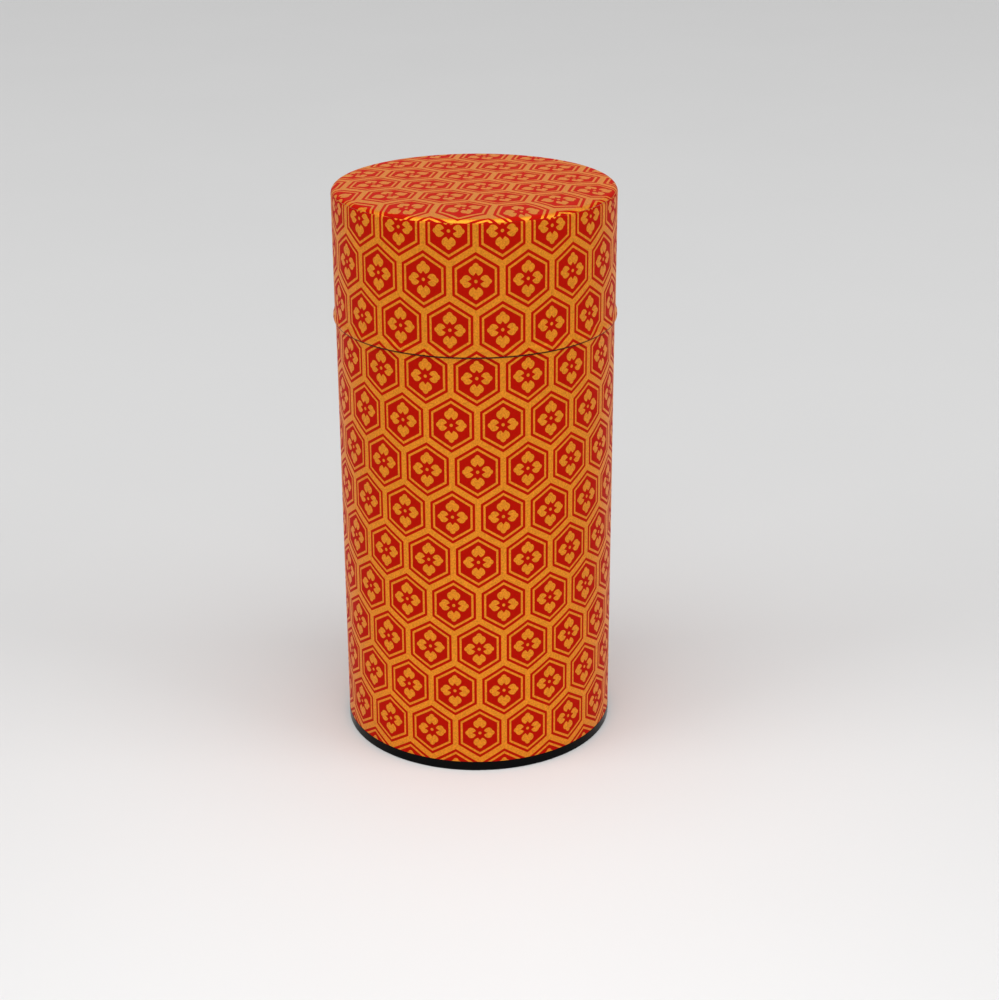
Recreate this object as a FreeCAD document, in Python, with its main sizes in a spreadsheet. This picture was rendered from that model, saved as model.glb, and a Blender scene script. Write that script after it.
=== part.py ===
"""Tea caddy: a paper-covered tin canister with a plug-in inner lid and a slip-over lid.

Every piece is a pressed or rolled sheet turned about the vertical axis. A piece is drawn from a datum of
its own and is then placed at its seat. Lengths are in millimetres, +Z is up, and the floor is at z = 0.
"""

import FreeCAD
import Part

import math
import os

import Sketcher

# Name, value and meaning of each driving size.
SIZES = (
    ("total_height", 155.5, "floor to the top of the lid, over the paper"),
    ("body_diameter", 75.4, "canister over its paper"),
    ("lid_height", 35.7, "lower edge of the lid to its top, over the paper"),
    ("seam_gap", 0.25, "shadow gap between the closed lid and the canister"),
    ("tin_thickness", 0.25, "sheet of every tin piece"),
    ("paper_thickness", 0.2, "printed paper"),
    ("glue_line", 0.03, "paste between the tin and the paper"),
    ("paper_lap", 6.0, "width over which a wrap's ends overlap"),
    ("paper_joint", 0.05, "hairline between a paper edge and its neighbour"),
    ("assembly_fit", 0.03, "room between tin pieces that are pushed together for good"),
    ("base_band_height", 2.65, "black rim that shows below the paper"),
    ("base_recess", 3.5, "underside of the base panel above the floor"),
    ("base_bend", 0.6, "inner radius between the base panel and its rim"),
    ("base_step_diameter", 56.0, "raised middle of the base panel"),
    ("base_step_rise", 0.8, "height of that raised middle"),
    ("collar_headroom", 4.05, "inner lid to the closed lid's flange above it"),
    ("collar_depth", 22.0, "collar below the canister's edge"),
    ("collar_hem", 5.0, "folded top edge of the collar"),
    ("collar_slit", 0.4, "butt joint of the rolled collar"),
    ("plug_clearance", 0.12, "inner lid to the collar's folded edge, on the radius"),
    ("seat_gap", 0.05, "inner lid's flange above the collar's edge"),
    ("plug_depth", 7.0, "inner lid's flange above its panel"),
    ("flange_bend", 0.3, "inner radius between flange and plug wall"),
    ("pan_bend", 0.75, "inner radius between plug wall and panel"),
    ("boss_diameter", 30.0, "raised middle of the inner lid"),
    ("boss_rise", 1.0, "height of that raised middle"),
    ("knob_diameter", 17.0, "cap of the knob"),
    ("knob_height", 9.5, "foot to the top of the knob"),
    ("knob_foot_diameter", 11.0, "foot of the knob"),
    ("knob_foot_height", 0.7, "straight edge of the foot"),
    ("knob_waist_diameter", 7.2, "narrowest part of the knob"),
    ("knob_waist_height", 3.2, "foot to the narrowest part"),
    ("knob_crown", 2.5, "rise of the cap's domed top"),
    ("knob_rim", 0.4, "straight edge of the cap"),
    ("knob_edge", 0.6, "rounding under the cap's edge"),
    ("knob_lip", 0.9, "flat under the cap, inside that rounding"),
    ("rivet_diameter", 3.2, "shank of the rivet"),
    ("rivet_length", 6.0, "shank above the rivet's head"),
    ("rivet_head_diameter", 6.0, "head of the rivet"),
    ("rivet_head_height", 1.0, "domed head of the rivet"),
    ("rivet_edge", 0.25, "straight edge of the rivet's head"),
    ("rivet_room", 0.3, "end of the rivet to the end of the knob's hole"),
    ("lid_clearance", 0.22, "lid to the collar, on the radius"),
    ("bead_rise", 0.46, "swelling of the lid's wall at its lower edge"),
    ("bead_peak", 0.9, "lower edge to the widest part of the swelling"),
    ("bead_run", 2.4, "widest part of the swelling up to where it starts"),
    ("edge_turn", 0.2, "how far the lower edge turns in from the widest part"),
    ("shoulder_radius", 1.4, "rounded edge of the lid's tin top"),
    ("shoulder_joint", 60.0, "degrees round the shoulder to the joint of the two papers"),
    ("top_land", 0.97, "straight wall between the lid's shoulder and its step"),
    ("top_flange", 5.0, "part of the lid's top that plugs into its tube"),
)


class Size:
    """A length that carries its number and the sheet expression that gives it."""

    def __init__(self, value, text):
        self.value = value
        self.text = text

    def combine(self, other, value, sign):
        return Size(value, f"({self.text} {sign} {as_size(other).text})")

    def __add__(self, other):
        return self.combine(other, self.value + as_size(other).value, "+")

    def __sub__(self, other):
        return self.combine(other, self.value - as_size(other).value, "-")

    def __mul__(self, other):
        return self.combine(other, self.value * as_size(other).value, "*")

    def __truediv__(self, other):
        return self.combine(other, self.value / as_size(other).value, "/")

    def root(self):
        return Size(math.sqrt(self.value), f"sqrt({self.text})")

    def sine(self):
        return Size(math.sin(math.radians(self.value)), f"sin({self.text})")

    def cosine(self):
        return Size(math.cos(math.radians(self.value)), f"cos({self.text})")


def as_size(number):
    """Let plain numbers stand beside sizes."""
    if isinstance(number, Size):
        return number
    return Size(number, str(number))


ZERO = as_size(0)


class Corner:
    """A corner of an outline, with the arc that leads to it if the way there isn't straight."""

    def __init__(self, radius, height, bend=None, turn=None):
        self.radius = as_size(radius)
        self.height = as_size(height)
        self.bend = bend
        self.turn = turn


def turned_back(corners):
    """Give the same stretch of outline, drawn from its other end."""
    opposite = {"left": "right", "right": "left", None: None}
    back = [Corner(corners[-1].radius, corners[-1].height)]
    for here, before in zip(corners[:0:-1], corners[-2::-1]):
        back.append(Corner(before.radius, before.height, here.bend, opposite[here.turn]))
    return back


def arc_radius(run, drop):
    """Radius of an arc that starts along its run and has left it by the drop at the end."""
    return (run * run + drop * drop) / (drop * 2)


def make_sheet(document):
    """Write the driving sizes into a sheet and return them by name."""
    sheet = document.addObject("Spreadsheet::Sheet", "Sizes")
    sizes = {}
    for row, (name, value, meaning) in enumerate(SIZES, start=1):
        sheet.set(f"A{row}", name)
        sheet.set(f"B{row}", str(value))
        sheet.setAlias(f"B{row}", name)
        sheet.set(f"C{row}", meaning)
        sizes[name] = Size(value, f"Sizes.{name}")
    document.recompute()
    return sizes


def bind(target, path, size):
    """Tie one property or constraint to the sheet."""
    target.setExpression(path, size.text)


def arc_between(start, end, bend, turn):
    """Draw the shorter arc of a given radius from one corner to the next."""
    chord = end - start
    middle = (start + end) * 0.5
    reach = math.sqrt(max(bend * bend - chord.Length ** 2 / 4, 0))
    side = FreeCAD.Vector(-chord.y, chord.x, 0).normalize()
    centre = middle + side * (reach if turn == "left" else -reach)
    first, last = (start, end) if turn == "left" else (end, start)
    angles = [math.atan2(point.y - centre.y, point.x - centre.x) for point in (first, last)]
    circle = Part.Circle(centre, FreeCAD.Vector(0, 0, 1), bend)
    return Part.ArcOfCircle(circle, *angles)


def tie_corner(sketch, line, end, corner):
    """Hold one corner at its radius and height."""
    for size, kind, axis in ((corner.radius, "DistanceX", -2), (corner.height, "DistanceY", -1)):
        if size is ZERO:
            sketch.addConstraint(Sketcher.Constraint("PointOnObject", line, end, axis))
        else:
            index = sketch.addConstraint(Sketcher.Constraint(kind, -1, 1, line, end, size.value))
            bind(sketch, f"Constraints[{index}]", size)


def draw_outline(body, name, corners, plane="XZ_Plane"):
    """Sketch a closed outline with radius across and height up, every size tied to the sheet."""
    sketch = body.newObject("Sketcher::SketchObject", name)
    support = [feature for feature in body.Origin.OriginFeatures if feature.Role == plane]
    sketch.AttachmentSupport = [(support[0], "")]
    sketch.MapMode = "FlatFace"
    points = [FreeCAD.Vector(corner.radius.value, corner.height.value, 0) for corner in corners]
    ends = []
    for number, corner in enumerate(corners):
        start, end = points[number - 1], points[number]
        if corner.bend is None:
            line = sketch.addGeometry(Part.LineSegment(start, end))
        else:
            line = sketch.addGeometry(arc_between(start, end, corner.bend.value, corner.turn))
        ends.append((line, 2, 1) if corner.turn == "right" else (line, 1, 2))
    for number, corner in enumerate(corners):
        line, start, end = ends[number]
        following, next_start, _ = ends[(number + 1) % len(ends)]
        sketch.addConstraint(Sketcher.Constraint("Coincident", line, end, following, next_start))
        tie_corner(sketch, line, end, corner)
        if corner.bend is not None:
            index = sketch.addConstraint(Sketcher.Constraint("Radius", line, corner.bend.value))
            bind(sketch, f"Constraints[{index}]", corner.bend)
    return sketch


def turn_piece(document, label, corners, height=ZERO):
    """Make one piece by turning its outline about the axis, and place it at its height."""
    body = document.addObject("PartDesign::Body", label)
    body.Label = label
    revolution = body.newObject("PartDesign::Revolution", f"{label}_turned")
    revolution.Profile = draw_outline(body, f"{label}_outline", corners)
    revolution.ReferenceAxis = (revolution.Profile[0], ["V_Axis"])
    revolution.Angle = 360
    body.setExpression("Placement.Base.z", height.text)
    document.recompute()
    return body


def add_lap(document, body, corners, angle):
    """Lay the overlapping end of a paper wrap over itself, centred on the back."""
    revolution = body.newObject("PartDesign::Revolution", f"{body.Label}_lap")
    revolution.Profile = draw_outline(body, f"{body.Label}_lap_outline", corners, "YZ_Plane")
    revolution.ReferenceAxis = (revolution.Profile[0], ["V_Axis"])
    revolution.Midplane = True
    bind(revolution, "Angle", angle)
    document.recompute()


def ring(inner, outer, low, high):
    """Outline of a plain ring."""
    return [Corner(inner, low), Corner(outer, low), Corner(outer, high), Corner(inner, high)]


class Caddy:
    """Radii and heights that more than one piece shares."""

    def __init__(self, sizes):
        self.sizes = sizes
        tin = sizes["tin_thickness"]
        fit = sizes["assembly_fit"]
        self.paper_stack = sizes["glue_line"] + sizes["paper_thickness"]
        self.body_radius = sizes["body_diameter"] / 2
        self.tube_outer = self.body_radius - self.paper_stack
        self.tube_inner = self.tube_outer - tin
        self.tube_bottom = tin + fit
        self.collar_outer = self.tube_inner - fit
        self.collar_inner = self.collar_outer - tin
        self.mouth_radius = self.collar_inner - tin
        self.lid_edge = sizes["total_height"] - sizes["lid_height"]
        self.body_top = self.lid_edge - sizes["seam_gap"]
        self.lid_inner = self.collar_outer + sizes["lid_clearance"]
        self.lid_outer = self.lid_inner + tin
        self.lid_plate_top = sizes["lid_height"] - self.paper_stack
        self.shoulder_centre = self.lid_outer - sizes["shoulder_radius"]
        self.shoulder_height = self.lid_plate_top - sizes["shoulder_radius"]
        self.step_height = self.shoulder_height - sizes["top_land"]
        self.flange_bottom = self.step_height - sizes["top_flange"]
        self.pan_top = self.lid_edge + self.flange_bottom - sizes["collar_headroom"]
        self.collar_top = self.pan_top - tin - sizes["seat_gap"]
        self.pan_bottom = self.pan_top - tin - sizes["plug_depth"]
        self.knob_seat = self.pan_bottom + sizes["boss_rise"] + tin
        self.rivet_hole = sizes["rivet_diameter"] / 2 + fit

    def lap_angle(self, radius):
        """Angle that a wrap's lap covers at a radius."""
        return self.sizes["paper_lap"] * 180 / (radius * math.pi)

    def lid_wall(self, offset):
        """One face of the lid's wall, from the bead's start down to the lower edge.

        The offset is measured outwards from the tin's outer face. The wall leaves the vertical in two
        equal arcs, reaches the widest part of the bead, and turns in to the lower edge in a third arc.
        """
        rise = self.sizes["bead_rise"]
        peak = self.sizes["bead_peak"]
        run = self.sizes["bead_run"]
        swell = arc_radius(run / 2, rise / 2)
        tuck = arc_radius(peak, self.sizes["edge_turn"])
        widest = self.lid_outer + rise
        halfway = self.lid_outer + rise / 2 + offset * (swell - rise / 2) / swell
        halfway_height = peak + run / 2 + offset * run / (swell * 2)
        edge_reach = ((tuck + offset) * (tuck + offset) - peak * peak).root()
        return [
            Corner(self.lid_outer + offset, peak + run),
            Corner(halfway, halfway_height, swell - offset, "left"),
            Corner(widest + offset, peak, swell + offset, "right"),
            Corner(widest - tuck + edge_reach, ZERO, tuck + offset, "right"),
        ]

    def on_shoulder(self, offset, angle):
        """Point of a face over the lid's shoulder, by its angle from the top."""
        reach = self.sizes["shoulder_radius"] + offset
        return self.shoulder_centre + reach * angle.sine(), self.shoulder_height + reach * angle.cosine()


def make_base_plate(document, caddy):
    """Pressed base: a raised panel, and a rim folded up round the tube's lower edge."""
    sizes = caddy.sizes
    tin = sizes["tin_thickness"]
    fit = sizes["assembly_fit"]
    recess = sizes["base_recess"]
    rise = sizes["base_step_rise"]
    bend = sizes["base_bend"]
    step = sizes["base_step_diameter"] / 2
    leg_outer = caddy.tube_inner - fit
    leg_inner = leg_outer - tin
    band_inner = caddy.tube_outer + fit
    band_outer = band_inner + tin
    corners = [
        Corner(ZERO, recess + rise),
        Corner(step - rise, recess + rise),
        Corner(step, recess),
        Corner(leg_inner - bend, recess),
        Corner(leg_inner, recess - bend, bend, "right"),
        Corner(leg_inner, tin),
        Corner(leg_outer, ZERO, tin, "left"),
        Corner(band_inner, ZERO),
        Corner(band_outer, tin, tin, "left"),
        Corner(band_outer, sizes["base_band_height"]),
        Corner(band_inner, sizes["base_band_height"]),
        Corner(band_inner, tin),
        Corner(leg_outer, tin),
        Corner(leg_outer, recess - bend),
        Corner(leg_inner - bend, recess + tin, bend + tin, "left"),
        Corner(step, recess + tin),
        Corner(step - rise, recess + rise + tin),
        Corner(ZERO, recess + rise + tin),
    ]
    return turn_piece(document, "base_plate", corners)


def make_body_tube(document, caddy):
    """Plain rolled tube that stands in the base's rim."""
    length = caddy.body_top - caddy.tube_bottom
    corners = ring(caddy.tube_inner, caddy.tube_outer, ZERO, length)
    return turn_piece(document, "body_tube", corners, caddy.tube_bottom)


def make_body_paper(document, caddy):
    """Paper round the tube, from the base's black rim to the tube's upper edge."""
    sizes = caddy.sizes
    bottom = sizes["base_band_height"] + sizes["paper_joint"]
    length = caddy.body_top - bottom
    inner = caddy.tube_outer + sizes["glue_line"]
    outer = caddy.body_radius
    body = turn_piece(document, "body_paper", ring(inner, outer, ZERO, length), bottom)
    lap = ring(inner, outer + sizes["paper_thickness"], ZERO, length)
    add_lap(document, body, lap, caddy.lap_angle(outer))
    return body


def make_neck_collar(document, caddy):
    """Collar in the canister's mouth, with its top edge folded inwards and its butt joint at the back."""
    sizes = caddy.sizes
    tin = sizes["tin_thickness"]
    bottom = caddy.body_top - sizes["collar_depth"]
    length = caddy.collar_top - bottom
    corners = [
        Corner(caddy.collar_inner, ZERO),
        Corner(caddy.collar_outer, ZERO),
        Corner(caddy.collar_outer, length - tin),
        Corner(caddy.collar_inner, length, tin, "left"),
        Corner(caddy.mouth_radius, length - tin, tin, "left"),
        Corner(caddy.mouth_radius, length - sizes["collar_hem"]),
        Corner(caddy.collar_inner, length - sizes["collar_hem"]),
    ]
    body = turn_piece(document, "neck_collar", corners, bottom)
    whole = body.Shape.Volume
    slit = body.newObject("PartDesign::Pocket", "neck_collar_slit")
    half = sizes["collar_slit"] / 2
    slit.Profile = draw_outline(body, "neck_collar_slit_outline", [
        Corner(half * -1, ZERO),
        Corner(half, ZERO),
        Corner(half, length),
        Corner(half * -1, length),
    ])
    slit.Reversed = False
    bind(slit, "Length", caddy.body_radius)
    document.recompute()
    if body.Shape.Volume >= whole:
        raise RuntimeError("the collar's butt joint cut nothing")
    return body


def make_inner_lid_pan(document, caddy):
    """Plug lid pressed from one sheet: flange, plug wall, panel and a raised middle."""
    sizes = caddy.sizes
    tin = sizes["tin_thickness"]
    depth = sizes["plug_depth"]
    rise = sizes["boss_rise"]
    top_bend = sizes["flange_bend"]
    low_bend = sizes["pan_bend"]
    boss = sizes["boss_diameter"] / 2
    plug_outer = caddy.mouth_radius - sizes["plug_clearance"]
    plug_inner = plug_outer - tin
    panel_edge = plug_inner - low_bend
    bend_height = low_bend + tin
    flange_start = plug_outer + top_bend
    corners = [
        Corner(caddy.rivet_hole, rise),
        Corner(boss - rise, rise),
        Corner(boss, ZERO),
        Corner(panel_edge, ZERO),
        Corner(plug_outer, bend_height, low_bend + tin, "left"),
        Corner(plug_outer, depth - top_bend),
        Corner(flange_start, depth, top_bend, "right"),
        Corner(caddy.collar_outer, depth),
        Corner(caddy.collar_outer, depth + tin),
        Corner(flange_start, depth + tin),
        Corner(plug_inner, depth - top_bend, top_bend + tin, "left"),
        Corner(plug_inner, bend_height),
        Corner(panel_edge, tin, low_bend, "right"),
        Corner(boss, tin),
        Corner(boss - rise, rise + tin),
        Corner(caddy.rivet_hole, rise + tin),
    ]
    return turn_piece(document, "inner_lid_pan", corners, caddy.pan_bottom)


def make_inner_lid_knob(document, caddy):
    """Waisted knob with a domed cap and a blind hole for the rivet."""
    sizes = caddy.sizes
    cap = sizes["knob_diameter"] / 2
    foot = sizes["knob_foot_diameter"] / 2
    waist = sizes["knob_waist_diameter"] / 2
    foot_height = sizes["knob_foot_height"]
    waist_height = sizes["knob_waist_height"]
    edge = sizes["knob_edge"]
    neck = cap - edge - sizes["knob_lip"]
    crown_height = sizes["knob_height"] - sizes["knob_crown"]
    cap_height = crown_height - sizes["knob_rim"] - edge
    hole_depth = sizes["rivet_length"] - sizes["tin_thickness"] + sizes["rivet_room"]
    corners = [
        Corner(caddy.rivet_hole, ZERO),
        Corner(foot, ZERO),
        Corner(foot, foot_height),
        Corner(waist, waist_height, arc_radius(waist_height - foot_height, foot - waist), "right"),
        Corner(neck, cap_height, arc_radius(cap_height - waist_height, neck - waist), "right"),
        Corner(cap - edge, cap_height),
        Corner(cap, cap_height + edge, edge, "left"),
        Corner(cap, crown_height),
        Corner(ZERO, sizes["knob_height"], arc_radius(cap, sizes["knob_crown"]), "left"),
        Corner(ZERO, hole_depth),
        Corner(caddy.rivet_hole, hole_depth),
    ]
    return turn_piece(document, "inner_lid_knob", corners, caddy.knob_seat)


def make_knob_rivet(document, caddy):
    """Dome-headed rivet up through the inner lid into the knob."""
    sizes = caddy.sizes
    shank = sizes["rivet_diameter"] / 2
    head = sizes["rivet_head_diameter"] / 2
    head_height = sizes["rivet_head_height"]
    dome = head_height - sizes["rivet_edge"]
    corners = [
        Corner(ZERO, ZERO),
        Corner(head, dome, arc_radius(head, dome), "left"),
        Corner(head, head_height),
        Corner(shank, head_height),
        Corner(shank, head_height + sizes["rivet_length"]),
        Corner(ZERO, head_height + sizes["rivet_length"]),
    ]
    underside = caddy.pan_bottom + sizes["boss_rise"]
    return turn_piece(document, "knob_rivet", corners, underside - head_height)


def make_lid_tube(document, caddy):
    """Ring of the lid, swelled to a bead at its lower edge."""
    tin = caddy.sizes["tin_thickness"]
    top = caddy.step_height - caddy.sizes["assembly_fit"]
    outer_face = [Corner(caddy.lid_outer, top)] + caddy.lid_wall(ZERO)
    inner_face = [Corner(caddy.lid_inner, top)] + caddy.lid_wall(ZERO - tin)
    corners = outer_face + turned_back(inner_face)
    return turn_piece(document, "lid_tube", corners, caddy.lid_edge)


def make_lid_top(document, caddy):
    """Disc of the lid: a rounded shoulder, and a flange stepped in to plug into the ring."""
    sizes = caddy.sizes
    tin = sizes["tin_thickness"]
    shoulder = sizes["shoulder_radius"]
    plate = caddy.lid_plate_top
    step = caddy.step_height
    flange_outer = caddy.lid_inner - sizes["assembly_fit"]
    flange_inner = flange_outer - tin
    wall_inner = caddy.lid_outer - tin
    corners = [
        Corner(ZERO, plate - tin),
        Corner(caddy.shoulder_centre, plate - tin),
        Corner(wall_inner, caddy.shoulder_height, shoulder - tin, "right"),
        Corner(wall_inner, step + wall_inner - flange_inner),
        Corner(flange_inner, step),
        Corner(flange_inner, caddy.flange_bottom),
        Corner(flange_outer, caddy.flange_bottom),
        Corner(flange_outer, step),
        Corner(caddy.lid_outer, step),
        Corner(caddy.lid_outer, caddy.shoulder_height),
        Corner(caddy.shoulder_centre, plate, shoulder, "left"),
        Corner(ZERO, plate),
    ]
    return turn_piece(document, "lid_top", corners, caddy.lid_edge)


def lid_paper_face(caddy, offset, joint):
    """One face of the lid's wrap, from the joint on the shoulder down to the lower edge."""
    return [
        Corner(*caddy.on_shoulder(offset, joint)),
        Corner(caddy.lid_outer + offset, caddy.shoulder_height,
               caddy.sizes["shoulder_radius"] + offset, "right"),
    ] + caddy.lid_wall(offset)


def make_lid_paper(document, caddy):
    """Paper round the lid, up onto its shoulder and down over the bead."""
    sizes = caddy.sizes
    hairline = sizes["paper_joint"] * 180 / (sizes["shoulder_radius"] * math.pi)
    joint = sizes["shoulder_joint"] + hairline
    inner_face = lid_paper_face(caddy, sizes["glue_line"], joint)
    outer_face = lid_paper_face(caddy, caddy.paper_stack, joint)
    lap_face = lid_paper_face(caddy, caddy.paper_stack + sizes["paper_thickness"], joint)
    corners = outer_face + turned_back(inner_face)
    body = turn_piece(document, "lid_paper", corners, caddy.lid_edge)
    lap = lap_face + turned_back(inner_face)
    add_lap(document, body, lap, caddy.lap_angle(caddy.lid_outer + caddy.paper_stack))
    return body


def make_lid_top_paper(document, caddy):
    """Paper disc on the lid, worked down over the shoulder."""
    sizes = caddy.sizes
    glue = sizes["glue_line"]
    stack = caddy.paper_stack
    shoulder = sizes["shoulder_radius"]
    joint = sizes["shoulder_joint"]
    plate = caddy.lid_plate_top
    corners = [
        Corner(ZERO, plate + glue),
        Corner(caddy.shoulder_centre, plate + glue),
        Corner(*caddy.on_shoulder(glue, joint), shoulder + glue, "right"),
        Corner(*caddy.on_shoulder(stack, joint)),
        Corner(caddy.shoulder_centre, plate + stack, shoulder + stack, "left"),
        Corner(ZERO, plate + stack),
    ]
    return turn_piece(document, "lid_top_paper", corners, caddy.lid_edge)


MAKERS = (
    make_base_plate,
    make_body_tube,
    make_body_paper,
    make_neck_collar,
    make_inner_lid_pan,
    make_inner_lid_knob,
    make_knob_rivet,
    make_lid_tube,
    make_lid_top,
    make_lid_paper,
    make_lid_top_paper,
)


def check(document, pieces):
    """Stop if any object failed or any piece isn't one sound solid."""
    for item in document.Objects:
        if "Invalid" in item.State or "Error" in item.State:
            raise RuntimeError(f"{item.Label} failed: {item.State}")
    for piece in pieces:
        if piece.Shape.isNull() or not piece.Shape.isValid():
            raise RuntimeError(f"{piece.Label} has no valid shape")
        if len(piece.Shape.Solids) != 1:
            raise RuntimeError(f"{piece.Label} isn't one solid")


def main():
    document = FreeCAD.newDocument("tea_caddy")
    caddy = Caddy(make_sheet(document))
    pieces = [make(document, caddy) for make in MAKERS]
    document.recompute()
    check(document, pieces)
    os.makedirs("parts", exist_ok=True)
    for piece in pieces:
        piece.Shape.exportStep(os.path.join("parts", f"{piece.Label}.step"))


main()
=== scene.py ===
"""Looks of a tea caddy: printed paper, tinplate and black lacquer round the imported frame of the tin."""

import math

import bpy
from bpy.props import FloatProperty, FloatVectorProperty, IntProperty, PointerProperty
from mathutils import Matrix, Vector


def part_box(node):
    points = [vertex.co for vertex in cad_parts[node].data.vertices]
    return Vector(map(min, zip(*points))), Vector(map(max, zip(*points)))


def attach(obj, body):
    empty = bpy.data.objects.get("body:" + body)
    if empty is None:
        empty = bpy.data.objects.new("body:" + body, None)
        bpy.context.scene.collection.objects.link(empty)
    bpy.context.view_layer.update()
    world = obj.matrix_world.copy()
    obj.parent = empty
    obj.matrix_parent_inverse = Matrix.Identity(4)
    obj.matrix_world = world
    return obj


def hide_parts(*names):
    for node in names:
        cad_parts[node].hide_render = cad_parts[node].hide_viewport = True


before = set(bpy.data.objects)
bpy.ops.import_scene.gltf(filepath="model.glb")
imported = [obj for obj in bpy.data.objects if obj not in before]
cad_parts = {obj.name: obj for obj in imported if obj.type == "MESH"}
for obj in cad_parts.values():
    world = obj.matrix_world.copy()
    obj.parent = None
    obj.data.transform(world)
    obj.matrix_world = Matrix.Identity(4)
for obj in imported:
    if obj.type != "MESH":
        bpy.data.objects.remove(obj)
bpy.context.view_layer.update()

bl_info = {
    "name": "Tea Caddy",
    "version": (1, 0, 0),
    "blender": (4, 5, 0),
    "location": "View3D > Sidebar > Tea Caddy",
    "description": "Covers a tin tea caddy with printed paper and gives its metal parts their finishes",
    "category": "Add Mesh",
}

MM = 0.001
FULL_TURN = 2 * math.pi

BODY_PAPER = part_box("body_paper")
LID_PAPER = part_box("lid_paper")
LID_TOP_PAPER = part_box("lid_top_paper")

QUARTERS = (0.25, 0.5, 0.75)
CURVE_STEPS = 8
EDGE_STEPS = 10
SHARP_ANGLE = math.radians(40)

# Fineness of surface marks, in grains to the metre.
INK_GRAIN = 2200
INK_CLOUD = 55
PAPER_FIBRE = 2600
CORE_FIBRE = 3000
TIN_LINES = 4200
TIN_BLOOM = 90
KNOB_LINES = 7000
KNOB_SMUDGE = 260
LACQUER_PEEL = 900
LACQUER_DUST = 2400
FLOOR_TOOTH = 8

# Depth of their relief.
PAPER_RELIEF = 0.012 * MM
CORE_RELIEF = 0.02 * MM
TIN_RELIEF = 0.004 * MM
KNOB_RELIEF = 0.002 * MM
LACQUER_RELIEF = 0.006 * MM

# Heights on a wrap's map: foot of the printed strips, then the back and the cut edges below them.
PRINT_FOOT = 0.08
BACK_TOP = 0.075
BACK_HEIGHT = 0.025
UPPER_CUT_BAND = (0.035, 0.045)
LOWER_CUT_BAND = (0.020, 0.030)
END_CUT_BAND = (0.005, 0.015)

# Places on the disc's map: two rounds for its printed face and its back, and a strip for its rim.
FACE_MIDDLE = 0.5
FACE_RADIUS = 0.48
BACK_MIDDLE = 0.07
BACK_RADIUS = 0.06
RIM_START = 0.2
RIM_LENGTH = 0.75
RIM_BAND = (0.002, 0.012)

# Lamps of the stage, in metres.
LAMP_SIZE = 0.9
LAMP_TARGET = (0, 0, 0.08)
KEY_PLACE = (0, -0.55, 1.2)
LEFT_PLACE = (-1.3, -0.5, 1.2)
RIGHT_PLACE = (1.3, -0.5, 1.2)
SKY_WIDTH = math.radians(70)
SKY_LEAN = math.radians(14)
FLOOR_REACH = 6.0


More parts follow.
